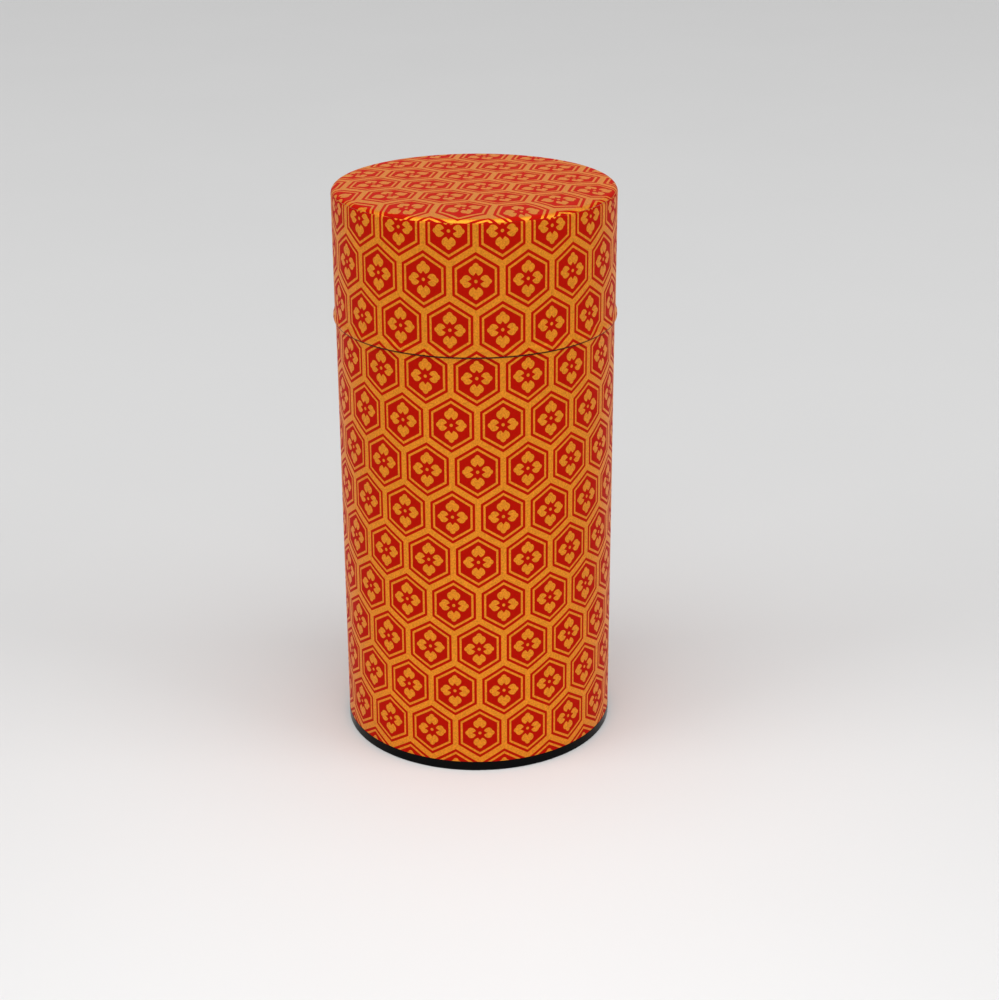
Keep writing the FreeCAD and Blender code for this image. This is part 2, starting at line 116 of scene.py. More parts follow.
class PrintSettings(bpy.types.PropertyGroup):
    """The print: hexagons with a double border round a four-petalled flower.

    Petal, point and notch sizes are pairs: for the flower's upright petals and for its side petals.
    """

    cell_width: FloatProperty(
        name="Cell width", description="Flower to flower along a row",
        default=13.43 * MM, unit="LENGTH")
    row_step: FloatProperty(
        name="Row step", description="One row of flowers to the next",
        default=12.813 * MM, unit="LENGTH")
    flower_arc: FloatProperty(
        name="Flower arc", description="Front of the canister to the nearest flower, round the paper",
        default=0.213 * MM, unit="LENGTH")
    flower_height: FloatProperty(
        name="Flower height", description="Height of that flower above the floor",
        default=114.27 * MM, unit="LENGTH")
    disc_turn: FloatProperty(
        name="Disc turn", description="How far the print on the lid's top is turned",
        default=math.radians(-69.80), subtype="ANGLE")
    disc_flower: FloatVectorProperty(
        name="Disc flower", description="Place of one flower on the lid's top",
        default=(2.39 * MM, -2.49 * MM), size=2, unit="LENGTH")
    disc_stretch: FloatVectorProperty(
        name="Disc stretch", description="Size of the print on the lid's top beside that on the sides",
        default=(1.008, 0.989), size=2)
    disc_pull: FloatProperty(
        name="Disc pull", description="How far the print is drawn out over the front of the lid's edge",
        default=4.8 * MM, unit="LENGTH")
    disc_calm: FloatProperty(
        name="Disc calm", description="Middle of the lid's top to where that drawing out starts",
        default=24.0 * MM, unit="LENGTH")
    border_inner: FloatProperty(
        name="Border, inner edge", description="Hexagon's middle to the thin gold line",
        default=4.74 * MM, unit="LENGTH")
    border_outer: FloatProperty(
        name="Border, outer edge", description="Hexagon's middle to the end of that line",
        default=5.285 * MM, unit="LENGTH")
    band_edge: FloatProperty(
        name="Band edge", description="Hexagon's middle to the broad gold band",
        default=5.975 * MM, unit="LENGTH")
    petal_middle: FloatVectorProperty(
        name="Petal middle", description="Flower's middle to the widest part of a petal",
        default=(2.95 * MM, 2.45 * MM), size=2, unit="LENGTH")
    petal_width: FloatVectorProperty(
        name="Petal half width", description="Half of a petal's greatest width",
        default=(1.81 * MM, 1.66 * MM), size=2, unit="LENGTH")
    petal_inward: FloatVectorProperty(
        name="Petal inward", description="Widest part of a petal to its foot",
        default=(1.53 * MM, 1.45 * MM), size=2, unit="LENGTH")
    petal_outward: FloatVectorProperty(
        name="Petal outward", description="Widest part of a petal to the end of its shoulders",
        default=(1.19 * MM, 1.12 * MM), size=2, unit="LENGTH")
    point_middle: FloatVectorProperty(
        name="Point middle", description="Flower's middle to the root of a petal's blunt point",
        default=(3.75 * MM, 3.10 * MM), size=2, unit="LENGTH")
    point_width: FloatVectorProperty(
        name="Point half width", description="Half of the width of that point at its root",
        default=(0.85 * MM, 0.81 * MM), size=2, unit="LENGTH")
    point_reach: FloatVectorProperty(
        name="Point reach", description="Root of that point to its tip",
        default=(1.03 * MM, 0.92 * MM), size=2, unit="LENGTH")
    notch_tip: FloatVectorProperty(
        name="Notch tip", description="Flower's middle to the end of the notch in a petal's foot",
        default=(2.29 * MM, 2.12 * MM), size=2, unit="LENGTH")
    notch_flare: FloatVectorProperty(
        name="Notch flare", description="How fast the notch widens towards the flower's middle",
        default=(0.75, 0.62), size=2)
    eye_radius: FloatProperty(
        name="Eye radius", description="Dot in the middle of a flower",
        default=0.43 * MM, unit="LENGTH")
    # Painted shade: a dark strip of paper colour along the joint of lid and canister, standing in for the
    # shadow in the gap between them.
    joint_shade_width: FloatProperty(
        name="Edge line", description="Darkened strip of paper along the joint of lid and canister",
        default=0.28 * MM, unit="LENGTH")
    joint_shade_colour: FloatVectorProperty(
        name="Edge colour", description="Colour of that strip",
        default=(0.035, 0.010, 0.006), size=3, subtype="COLOR", min=0, max=1)
    ink_spread: FloatProperty(
        name="Ink spread", description="Half of the width over which gold turns to red",
        default=0.05 * MM, unit="LENGTH")
    red: FloatVectorProperty(
        name="Red ink", description="Colour of the red ground",
        default=(0.495, 0.0068, 0.0018), size=3, subtype="COLOR", min=0, max=1)
    gold: FloatVectorProperty(
        name="Gold ink", description="Colour of the gold print",
        default=(0.81, 0.268, 0.0205), size=3, subtype="COLOR", min=0, max=1)


class SheetSettings(bpy.types.PropertyGroup):
    """The paper and the form of the lid that it follows."""

    thickness: FloatProperty(
        name="Thickness", description="Printed paper", default=0.2 * MM, unit="LENGTH")
    lap: FloatProperty(
        name="Lap", description="Width over which the ends of a wrap overlap",
        default=6 * MM, unit="LENGTH")
    lap_run: FloatProperty(
        name="Lap run", description="Length over which the upper end comes down to the tin",
        default=1.5 * MM, unit="LENGTH")
    bead_rise: FloatProperty(
        name="Bead rise", description="Swelling of the lid at its lower edge",
        default=0.46 * MM, unit="LENGTH")
    bead_peak: FloatProperty(
        name="Bead peak", description="Lower edge to the widest part of the swelling",
        default=0.9 * MM, unit="LENGTH")
    bead_run: FloatProperty(
        name="Bead run", description="Widest part of the swelling up to where it starts",
        default=2.4 * MM, unit="LENGTH")
    edge_turn: FloatProperty(
        name="Edge turn", description="How far the lower edge turns in from the widest part",
        default=0.2 * MM, unit="LENGTH")
    shoulder_radius: FloatProperty(
        name="Shoulder radius", description="Rounded edge of the lid, over the paper",
        default=1.63 * MM, unit="LENGTH")
    shoulder_joint: FloatProperty(
        name="Shoulder joint", description="Joint of the two papers, from the top round the shoulder",
        default=math.radians(60), subtype="ANGLE")
    joint_gap: FloatProperty(
        name="Joint gap", description="Hairline between the two papers",
        default=0.05 * MM, unit="LENGTH")
    columns: IntProperty(
        name="Columns", description="Faces round a wrap", default=180, min=24)


class FinishSettings(bpy.types.PropertyGroup):
    """Colours of the bare parts."""

    paper_core: FloatVectorProperty(
        name="Paper core", description="Cut edges and back of the paper",
        default=(0.34, 0.15, 0.08), size=3, subtype="COLOR", min=0, max=1)
    tin: FloatVectorProperty(
        name="Tinplate", description="Sheet of the canister and the lids",
        default=(0.66, 0.65, 0.62), size=3, subtype="COLOR", min=0, max=1)
    bright: FloatVectorProperty(
        name="Bright metal", description="Knob of the inner lid and its rivet",
        default=(0.74, 0.73, 0.71), size=3, subtype="COLOR", min=0, max=1)
    lacquer: FloatVectorProperty(
        name="Black lacquer", description="Base of the canister",
        default=(0.002, 0.0022, 0.0025), size=3, subtype="COLOR", min=0, max=1)
    rubbed: FloatVectorProperty(
        name="Rubbed lacquer", description="Foot of the base, where it is dulled",
        default=(0.045, 0.045, 0.046), size=3, subtype="COLOR", min=0, max=1)
    rub_height: FloatProperty(
        name="Rub height", description="How far up the base is dulled",
        default=0.25 * MM, unit="LENGTH")
    rub_blur: FloatProperty(
        name="Rub blur", description="Half of the height over which that fades",
        default=0.2 * MM, unit="LENGTH")


class StageSettings(bpy.types.PropertyGroup):
    """Camera, lamps and floor."""

    camera_place: FloatVectorProperty(
        name="Camera place", description="Where the camera stands",
        default=(0, -517.2 * MM, 279.2 * MM), size=3, subtype="TRANSLATION", unit="LENGTH")
    camera_yaw: FloatProperty(
        name="Camera yaw", description="Turn to the right",
        default=math.radians(0.6994), subtype="ANGLE")
    camera_pitch: FloatProperty(
        name="Camera pitch", description="Tilt above the horizon",
        default=math.radians(-22.4758), subtype="ANGLE")
    camera_roll: FloatProperty(
        name="Camera roll", description="Turn about the view",
        default=math.radians(-0.2540), subtype="ANGLE")
    lens: FloatProperty(
        name="Lens", description="Focal length on the sensor's 36 mm", default=71.63, unit="CAMERA")
    floor_colour: FloatVectorProperty(
        name="Floor", description="Colour of the pale floor",
        default=(0.64, 0.64, 0.64), size=3, subtype="COLOR", min=0, max=1)
    painted_light_colour: FloatVectorProperty(
        # Painted light: the floor in front of the caddy is painted brighter, a pool standing in for the
        # light of the front lamp, so that it is darker behind the caddy.
        name="Front of the floor", description="Colour of the floor in front of the caddy",
        default=(0.83, 0.83, 0.83), size=3, subtype="COLOR", min=0, max=1)
    painted_light_place: FloatProperty(
        name="Front place", description="Where that colour is strongest, ahead of the caddy",
        default=220 * MM, unit="LENGTH")
    painted_light_reach: FloatProperty(
        name="Front reach", description="Distance from there over which it fades",
        default=400 * MM, unit="LENGTH")
    ambient: FloatProperty(
        name="Ambient", description="Strength of the light from all round", default=0.25)
    backdrop: FloatProperty(
        name="Backdrop", description="Strength of what the camera and bright metal see all round",
        default=0.52)
    sky_strength: FloatProperty(
        name="Sky", description="Strength of the even light from overhead", default=1.8)
    key_power: FloatProperty(
        name="Key", description="Power of the large lamp in front", default=1.8, unit="POWER")
    side_power: FloatProperty(
        name="Sides", description="Power of the lamps at the left and the right",
        default=7.0, unit="POWER")


class Value:
    """One output of a material's nodes. Arithmetic on it adds Math nodes."""

    def __init__(self, paint, socket):
        self.paint = paint
        self.socket = socket

    def maths(self, operation, *others):
        return self.paint.maths(operation, self, *others)

    def __add__(self, other):
        return self.maths("ADD", other)

    __radd__ = __add__

    def __sub__(self, other):
        return self.maths("SUBTRACT", other)

    def __rsub__(self, other):
        return self.paint.maths("SUBTRACT", other, self)

    def __mul__(self, other):
        return self.maths("MULTIPLY", other)

    __rmul__ = __mul__

    def __truediv__(self, other):
        return self.maths("DIVIDE", other)

    def __gt__(self, other):
        return self.maths("GREATER_THAN", other)

    def __lt__(self, other):
        return self.maths("LESS_THAN", other)

    def __abs__(self):
        return self.maths("ABSOLUTE")

    def root(self):
        return self.maths("SQRT")

    def largest(self, other):
        return self.maths("MAXIMUM", other)

    def smallest(self, other):
        return self.maths("MINIMUM", other)

    def wrapped(self, reach):
        """The value moved by whole steps to lie within reach of zero."""
        return self.maths("WRAP", reach, -reach)

    def above(self, edge, blur):
        """Zero below an edge and one above it, with a soft change of this half width."""
        return self.paint.node(
            "MapRange", {"interpolation_type": "SMOOTHSTEP"},
            {"Value": self, "From Min": edge - blur, "From Max": edge + blur}, "Result")

    def below(self, edge, blur):
        return 1 - self.above(edge, blur)


class Paint:
    """A material whose nodes are added one by one."""

    def __init__(self, name, **constants):
        self.material = bpy.data.materials.new(name)
        self.material.use_nodes = True
        self.tree = self.material.node_tree
        self.shader = self.tree.nodes["Principled BSDF"]
        for socket, value in constants.items():
            self.shader.inputs[socket.replace("_", " ")].default_value = value

    def node(self, kind, settings=None, inputs=None, output=0):
        """Add a node, set it up, feed its sockets and return one of its outputs."""
        made = self.tree.nodes.new(f"ShaderNode{kind}")
        for name, setting in (settings or {}).items():
            setattr(made, name, setting)
        for name, value in (inputs or {}).items():
            self.feed(find(made.inputs, name), value)
        return Value(self, find(made.outputs, output))

    def feed(self, socket, value):
        if isinstance(value, Value):
            self.tree.links.new(value.socket, socket)
        else:
            socket.default_value = value

    def maths(self, operation, *values):
        return self.node("Math", {"operation": operation}, dict(enumerate(values)))

    def mix(self, share, first, second):
        """Blend two colours."""
        return self.node(
            "Mix", {"data_type": "RGBA"},
            {"Factor_Float": share, "A_Color": opaque(first), "B_Color": opaque(second)},
            "Result_Color")

    def shade(self, colour, strength):
        """Make a colour lighter or darker by a value round one."""
        grey = self.node("CombineXYZ", None, {0: strength, 1: strength, 2: strength})
        return self.node(
            "Mix", {"data_type": "RGBA", "blend_type": "MULTIPLY"},
            {"Factor_Float": 1.0, "A_Color": opaque(colour), "B_Color": grey}, "Result_Color")

    def place(self):
        """Place in the caddy's frame, in metres, as a vector and as its three parts."""
        vector = self.node("TexCoord", output="Object")
        return vector, self.parts(vector)

    def parts(self, vector):
        return [self.node("SeparateXYZ", None, {0: vector}, axis) for axis in range(3)]

    def scaled(self, vector, scale):
        return self.node("VectorMath", {"operation": "MULTIPLY"}, {0: vector, 1: scale})

    def noise(self, vector, scale, detail=2.0, roughness=0.5):
        """Smooth noise from zero to one, with a scale in grains to the metre."""
        return self.node(
            "TexNoise", None,
            {"Vector": vector, "Scale": scale, "Detail": detail, "Roughness": roughness}, "Fac")

    def rings(self, parts, scale, detail):
        """Noise drawn out round the caddy's axis, like the marks of rolling or turning."""
        x, y, z = parts
        radius = (x * x + y * y).root()
        drawn = self.node("CombineXYZ", None, {0: radius, 1: z})
        return self.noise(drawn, scale, detail, 0.6)

    def raise_surface(self, height, depth):
        """Give the surface the relief of a height, whose unit is this deep."""
        return self.node("Bump", None, {"Height": height, "Distance": depth}, "Normal")

    def finish(self, **sockets):
        """Feed the shader and return the material."""
        for socket, value in sockets.items():
            self.feed(self.shader.inputs[socket.replace("_", " ")], value)
        return self.material


def find(sockets, key):
    """A socket by its number, identifier or name."""
    if isinstance(key, int):
        return sockets[key]
    for socket in sockets:
        if socket.identifier == key:
            return socket
    return sockets[key]


def opaque(colour):
    """A colour with its alpha, or a link as it is."""
    if isinstance(colour, Value):
        return colour
    return (*colour, 1.0)


def nearest_cell(prints, across, up):
    """Place inside the nearest hexagon, and its distance from the middle by the hexagon's width."""
    width = prints.cell_width
    step = prints.row_step
    slant = 0.75 * width / step
    found = []
    for shift in (0, 1):
        inside_across = (across - shift * width / 2).wrapped(width / 2)
        inside_up = (up - shift * step).wrapped(step)
        side = abs(inside_across)
        reach = side.largest(side * 0.5 + abs(inside_up) * slant)
        found.append((side, abs(inside_up), reach))
    (side, rise, reach), (other_side, other_rise, other_reach) = found
    other = other_reach < reach
    side = side + (other_side - side) * other
    rise = rise + (other_rise - rise) * other
    return side, rise, reach.smallest(other_reach)


def half_ellipse(along, middle, inward, outward, width):
    """Half width of an oval with different reaches on the two sides of its middle."""
    inner = ((middle - along) / inward).largest(0)
    outer = ((along - middle) / outward).largest(0)
    rest = (1 - inner * inner - outer * outer).largest(0)
    return rest.root() * width


def petal(prints, pair, along, across):
    """Mask of the two petals on one axis of the flower."""
    blur = prints.ink_spread
    blade = half_ellipse(along, prints.petal_middle[pair], prints.petal_inward[pair],
                         prints.petal_outward[pair], prints.petal_width[pair])
    reach = prints.point_reach[pair]
    point = half_ellipse(along, prints.point_middle[pair], reach, reach, prints.point_width[pair])
    notch = (prints.notch_tip[pair] - along) * prints.notch_flare[pair]
    return (blade.largest(point) - across).above(blur, blur) * (across - notch).above(0, blur)


def gold_print(prints, across, up):
    """Mask of the gold print over the red ground."""
    blur = prints.ink_spread
    side, rise, reach = nearest_cell(prints, across, up)
    border = reach.above(prints.border_inner, blur) * reach.below(prints.border_outer, blur)
    band = reach.above(prints.band_edge, blur)
    eye = (side * side + rise * rise).root().below(prints.eye_radius, blur)
    petals = petal(prints, 0, rise, side) + petal(prints, 1, side, rise)
    return (border + band + eye + petals).smallest(1)


def printed_paper(name, prints, print_place, joint=None):
    """Semi-gloss paper with bronze ink over a red ground, with painted shade along a joint at a height,
    for the shadowed gap between lid and canister.
    """
    paint = Paint(name, Specular_IOR_Level=0.015)
    place, parts = paint.place()
    across, up = print_place(paint, parts)
    gold = gold_print(prints, across, up)
    grain = paint.noise(place, INK_GRAIN, 3.0, 0.6)
    cloud = paint.noise(place, INK_CLOUD, 3.0)
    fibre = paint.noise(paint.scaled(place, (1.0, 1.0, 0.35)), PAPER_FIBRE, 4.0, 0.65)
    red = paint.shade(prints.red, 0.80 + 0.10 * cloud + 0.30 * grain)
    bronze = paint.shade(prints.gold, 0.41 + 0.08 * cloud + 1.1 * grain)
    colour = paint.mix(gold, red, bronze)
    relief = gold * 0.5 + fibre * 0.5 + grain * 0.2
    metal = gold * 0.65
    if joint is not None:
        # Painted shade: near the joint the paper turns dark brown and loses the gold's metal, for the
        # shadowed gap between lid and canister.
        unshaded = abs(parts[2] - joint).above(prints.joint_shade_width, prints.joint_shade_width / 2)
        colour = paint.mix(unshaded, prints.joint_shade_colour, colour)
        metal = metal * unshaded
    return paint.finish(
        Base_Color=colour,
        Metallic=metal,
        Roughness=0.40 - gold * 0.04 + 0.10 * fibre,
        Normal=paint.raise_surface(relief, PAPER_RELIEF),
    )


def paper_core(finish):
    """Fibrous cut edge and back of the paper."""
    paint = Paint("paper_core", IOR=1.4)
    place, _ = paint.place()
    fibre = paint.noise(place, CORE_FIBRE, 4.0, 0.7)
    return paint.finish(
        Base_Color=paint.shade(finish.paper_core, 0.75 + 0.5 * fibre),
        Roughness=0.80 + 0.15 * fibre,
        Normal=paint.raise_surface(fibre, CORE_RELIEF),
    )


def tinplate(finish):
    """Rolled tinplate: fine draw lines round the axis, a faint bloom and a satin gloss."""
    paint = Paint("tinplate", Metallic=0.85)
    place, parts = paint.place()
    lines = paint.rings(parts, TIN_LINES, 3.0)
    bloom = paint.noise(place, TIN_BLOOM, 3.0)
    return paint.finish(
        Base_Color=paint.shade(finish.tin, 0.90 + 0.12 * lines + 0.06 * bloom),
        Roughness=0.20 + 0.10 * bloom + 0.10 * lines,
        Normal=paint.raise_surface(lines, TIN_RELIEF),
    )


def bright_metal(finish):
    """Turned and polished metal with hairline marks."""
    paint = Paint("bright_tin", Metallic=1.0)
    place, parts = paint.place()
    lines = paint.rings(parts, KNOB_LINES, 2.0)
    smudge = paint.noise(place, KNOB_SMUDGE, 3.0)
    return paint.finish(
        Base_Color=paint.shade(finish.bright, 0.92 + 0.10 * lines + 0.04 * smudge),
        Roughness=0.10 + 0.08 * smudge + 0.06 * lines,
        Normal=paint.raise_surface(lines, KNOB_RELIEF),
    )


def black_lacquer(finish):
    """Baked gloss black with a slight orange peel, rubbed where the base meets the table."""
    paint = Paint("black_lacquer", Specular_IOR_Level=0.05)
    place, (_, _, z) = paint.place()
    peel = paint.noise(place, LACQUER_PEEL, 2.0)
    dust = paint.noise(place, LACQUER_DUST, 3.0, 0.7)
    rubbed = z.below(finish.rub_height, finish.rub_blur)
    return paint.finish(
        Base_Color=paint.mix(rubbed * dust, finish.lacquer, finish.rubbed),
        Roughness=0.16 + 0.10 * dust + 0.25 * rubbed,
        Normal=paint.raise_surface(peel, LACQUER_RELIEF),
    )


class ProfilePoint:
    """A point of a turned face, with the direction in which the paper gets thicker there."""

    def __init__(self, radius, height, angle):
        self.radius = radius
        self.height = height
        self.out = math.cos(angle)
        self.up = math.sin(angle)

    def at(self, turn, lift):
        """The point in space, turned about the axis from the front and lifted off its face."""
        radius = self.radius + self.out * lift
        return Vector((radius * math.sin(turn), -radius * math.cos(turn), self.height + self.up * lift))


def arc(centre_radius, centre_height, bend, first, last, steps, hollow=False):
    """Points along an arc from one angle to another; a hollow arc's face looks at its centre."""
    points = []
    for step in range(steps + 1):
        angle = first + (last - first) * step / steps
        facing = angle + math.pi if hollow else angle
        points.append(ProfilePoint(
            centre_radius + bend * math.cos(angle), centre_height + bend * math.sin(angle), facing))
    return points


def lid_edge_radius():
    """Radius of the lid's straight wall, over the paper."""
    sheet = bpy.context.scene.caddy_sheet
    return -LID_PAPER[0].y - sheet.bead_rise


def shoulder_arc(sheet, first, last):
    """Part of the lid's shoulder, by angles from the top, drawn from the higher one down."""
    bend = sheet.shoulder_radius
    centre_radius = lid_edge_radius() - bend
    centre_height = LID_TOP_PAPER[1].z - bend
    quarter = math.pi / 2
    return arc(centre_radius, centre_height, bend, quarter - first, quarter - last, CURVE_STEPS)


def lid_profile(sheet):
    """Outer face of the lid's wrap, from the joint on the shoulder down to the lower edge."""
    edge = LID_PAPER[0].z
    wall = lid_edge_radius()
    rise = sheet.bead_rise
    half_run = sheet.bead_run / 2
    swell = (half_run ** 2 + (rise / 2) ** 2) / rise
    lean = math.asin(half_run / swell)
    tuck = (sheet.bead_peak ** 2 + sheet.edge_turn ** 2) / (2 * sheet.edge_turn)
    fall = math.asin(sheet.bead_peak / tuck)
    peak = edge + sheet.bead_peak
    hairline = sheet.joint_gap / sheet.shoulder_radius
    points = shoulder_arc(sheet, sheet.shoulder_joint + hairline, math.pi / 2)
    points += arc(
        wall + swell, peak + sheet.bead_run, swell, math.pi, math.pi + lean, CURVE_STEPS, hollow=True)
    points += arc(wall + rise - swell, peak, swell, lean, 0, CURVE_STEPS)[1:]
    points += arc(wall + rise - tuck, peak, tuck, 0, -fall, EDGE_STEPS)[1:]
    return points


def body_profile():
    """Outer face of the canister's wrap, from the top down."""
    radius = -BODY_PAPER[0].y
    return [ProfilePoint(radius, BODY_PAPER[1].z, 0), ProfilePoint(radius, BODY_PAPER[0].z, 0)]


def lap_stations(sheet, radius):
    """Turns and lifts round a wrap, from its upper end at the back all round to its lower end."""
    half_lap = sheet.lap / 2 / radius
    run = sheet.lap_run / radius
    start = -math.pi - half_lap
    flat = -math.pi + half_lap
    stations = [(start + (flat - start) * share, sheet.thickness) for share in (0, *QUARTERS, 1)]
    for share in QUARTERS:
        ease = share * share * (3 - 2 * share)
        stations.append((flat + run * share, sheet.thickness * (1 - ease)))
    first = flat + run
    last = start + FULL_TURN
    for column in range(sheet.columns + 1):
        stations.append((first + (last - first) * column / sheet.columns, 0.0))
    return stations


class SheetMesh:
    """Faces of a piece of paper: printed ones, and bare ones at its edges and back."""

    PRINTED = 0
    BARE = 1

    def __init__(self):
        self.points = []
        self.faces = []
        self.sides = []
        self.spots = []

    def add(self, side, corners, spots):
        """Add a face with its corners' numbers and their places on the flat map."""
        self.faces.append(corners)
        self.sides.append(side)
        self.spots += spots

    def make(self, name):
        """A piece with smooth faces, sharp cut edges and its map."""
        mesh = bpy.data.meshes.new(name)
        mesh.from_pydata(self.points, [], self.faces)
        mesh.polygons.foreach_set("material_index", self.sides)
        flat = mesh.uv_layers.new(name="OFBake")
        for corner, spot in zip(flat.data, self.spots):
            corner.uv = spot
        mesh.shade_smooth()
        mesh.set_sharp_from_angle(angle=SHARP_ANGLE)
        piece = bpy.data.objects.new(name, mesh)
        bpy.context.scene.collection.objects.link(piece)
        return piece


def map_cell(start, end, low, high):
    """Four places on the map, in the order of a face's corners: high, low, low, high."""
    return [(start, high), (start, low), (end, low), (end, high)]


def shares(profile):
    """Length along a profile to each of its points, as a share of the whole."""
    lengths = [0.0]
    for here, there in zip(profile, profile[1:]):
        step = math.hypot(there.radius - here.radius, there.height - here.height)
        lengths.append(lengths[-1] + step)
    return [length / lengths[-1] for length in lengths]


def wrap_piece(name, profile, sheet, strips):
    """A sheet of paper wrapped once round a turned face, with its upper end lapped over the lower one.

    On the map the printed face is cut into strips that lie one above the other; the bare faces lie in
    narrow bands below them.
    """
    stations = lap_stations(sheet, profile[-1].radius)
    rows = len(profile)
    last = len(stations) - 1
    paper = SheetMesh()
    for turn, lift in stations[:-1]:
        paper.points += [point.at(turn, lift) for point in profile]
        paper.points += [point.at(turn, -sheet.thickness) for point in profile]
    paper.points += [point.at(*stations[-1]) for point in profile]
    down = shares(profile)
    back = [BACK_TOP - share * BACK_HEIGHT for share in down]
    strip_height = (1 - PRINT_FOOT) / strips
    for column in range(last):
        strip = column * strips // last
        first = math.ceil(strip * last / strips)
        width = math.ceil((strip + 1) * last / strips) - first
        left = (column - first) / width
        right = (column + 1 - first) / width
        top = 1 - strip * strip_height
        face = [top - share * strip_height for share in down]
        start = column / last
        end = (column + 1) / last
        here = column * 2 * rows
        there = here + 2 * rows
        inner = here + rows
        inner_there = there + rows if column + 1 < last else rows
        for row in range(rows - 1):
            paper.add(
                SheetMesh.PRINTED, (here + row, here + row + 1, there + row + 1, there + row),
                map_cell(left, right, face[row + 1], face[row]))
            paper.add(
                SheetMesh.BARE,
                (inner_there + row, inner_there + row + 1, inner + row + 1, inner + row),
                map_cell(start, end, back[row + 1], back[row]))
        low = rows - 1
        paper.add(
            SheetMesh.BARE, (inner, here, there, inner_there), map_cell(start, end, *UPPER_CUT_BAND))
        paper.add(
            SheetMesh.BARE, (here + low, inner + low, inner_there + low, there + low),
            map_cell(start, end, *LOWER_CUT_BAND))
    cut = last * 2 * rows
    for row in range(rows - 1):
        paper.add(
            SheetMesh.BARE, (row, cut + row, cut + row + 1, row + 1),
            map_cell(down[row], down[row + 1], *END_CUT_BAND))
    return paper.make(name)


def disc_piece(name, sheet):
    """A disc of paper on the lid, worked down over its shoulder."""
    shoulder = shoulder_arc(sheet, 0, sheet.shoulder_joint)
    height = shoulder[0].height
    flat = shoulder[0].radius
    rings = [ProfilePoint(flat * share, height, math.pi / 2) for share in QUARTERS] + shoulder
    out = shares([ProfilePoint(0, height, math.pi / 2)] + rings)[1:]
    columns = sheet.columns
    turns = [FULL_TURN * column / columns for column in range(columns + 1)]
    paper = SheetMesh()
    for lift in (0, -sheet.thickness):
        for ring in rings:
            paper.points += [ring.at(turn, lift) for turn in turns[:-1]]
    middle = len(paper.points)
    paper.points += [Vector((0, 0, height)), Vector((0, 0, height - sheet.thickness))]
    below = len(rings) * columns

    def printed_spot(share, turn):
        reach = FACE_RADIUS * share
        return (FACE_MIDDLE + reach * math.sin(turn), FACE_MIDDLE - reach * math.cos(turn))

    def bare_spot(share, turn):
        reach = BACK_RADIUS * share
        return (BACK_MIDDLE + reach * math.sin(turn), BACK_MIDDLE + reach * math.cos(turn))

    for column in range(columns):
        after = (column + 1) % columns
        here = turns[column]
        there = turns[column + 1]
        paper.add(
            SheetMesh.PRINTED, (middle, column, after),
            [printed_spot(0, here), printed_spot(out[0], here), printed_spot(out[0], there)])
        paper.add(
            SheetMesh.BARE, (middle + 1, below + after, below + column),
            [bare_spot(0, here), bare_spot(out[0], there), bare_spot(out[0], here)])
        for ring in range(len(rings) - 1):
            near = ring * columns
            far = near + columns
            paper.add(
                SheetMesh.PRINTED, (near + column, far + column, far + after, near + after),
                [printed_spot(out[ring], here), printed_spot(out[ring + 1], here),
                 printed_spot(out[ring + 1], there), printed_spot(out[ring], there)])
            near += below
            far += below
            paper.add(
                SheetMesh.BARE, (near + after, far + after, far + column, near + column),
                [bare_spot(out[ring], there), bare_spot(out[ring + 1], there),
                 bare_spot(out[ring + 1], here), bare_spot(out[ring], here)])
        rim = (len(rings) - 1) * columns
        low_rim = rim + below
        share = RIM_START + RIM_LENGTH * column / columns
        paper.add(
            SheetMesh.BARE, (rim + column, low_rim + column, low_rim + after, rim + after),
            map_cell(share, share + RIM_LENGTH / columns, *RIM_BAND))
    return paper.make(name)


def wrap_print(radius):
    """Place on a wrap's print: length round the paper from the first flower, and height above it."""
    prints = bpy.context.scene.caddy_print
    sheet = bpy.context.scene.caddy_sheet
    seam = math.pi - sheet.lap / 2 / radius

    def print_place(paint, parts):
        x, y, z = parts
        turn = paint.maths("ARCTAN2", x, 0 - y)
        turn = turn - FULL_TURN * (turn > seam)
        return turn * radius - prints.flower_arc, z - prints.flower_height

    return print_place


def disc_print():
    """Place on the lid's top print, which runs on over the shoulder at its full length.

    It is also drawn out over the front edge, by a pull that grows outward and fades round the sides.
    """
    prints = bpy.context.scene.caddy_print
    sheet = bpy.context.scene.caddy_sheet
    bend = sheet.shoulder_radius
    flat = lid_edge_radius() - bend
    cosine = math.cos(prints.disc_turn)
    sine = math.sin(prints.disc_turn)
    least_radius = 0.01 * MM
    pull_growth = 1.7
    pull_fade = 0.7

    def print_place(paint, parts):
        x, y, _ = parts
        radius = (x * x + y * y).root().largest(least_radius)
        over = ((radius - flat) / bend).largest(0).smallest(1)
        length = radius.smallest(flat) + over.maths("ARCSINE") * bend
        stretch = length / radius
        outward = ((radius.smallest(flat) - prints.disc_calm) / (flat - prints.disc_calm)).largest(0)
        forward = (0.5 - 0.5 * y / radius).maths("POWER", pull_fade)
        pull = outward.maths("POWER", pull_growth) * forward * prints.disc_pull
        x = x * stretch / prints.disc_stretch[0] - prints.disc_flower[0]
        y = (y * stretch + pull) / prints.disc_stretch[1] - prints.disc_flower[1]
        return x * cosine + y * sine, y * cosine - x * sine

    return print_place


def dress(piece, body, node, *materials):
    """Give a paper piece its materials and put it in the place of its plain solid."""
    for material in materials:
        piece.data.materials.append(material)
    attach(piece, body)
    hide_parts(node)


def coat(material, *nodes):
    """Give frame pieces whose shape is right their finish."""
    for node in nodes:
        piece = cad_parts[node]
        for slot in piece.material_slots:
            slot.material = material


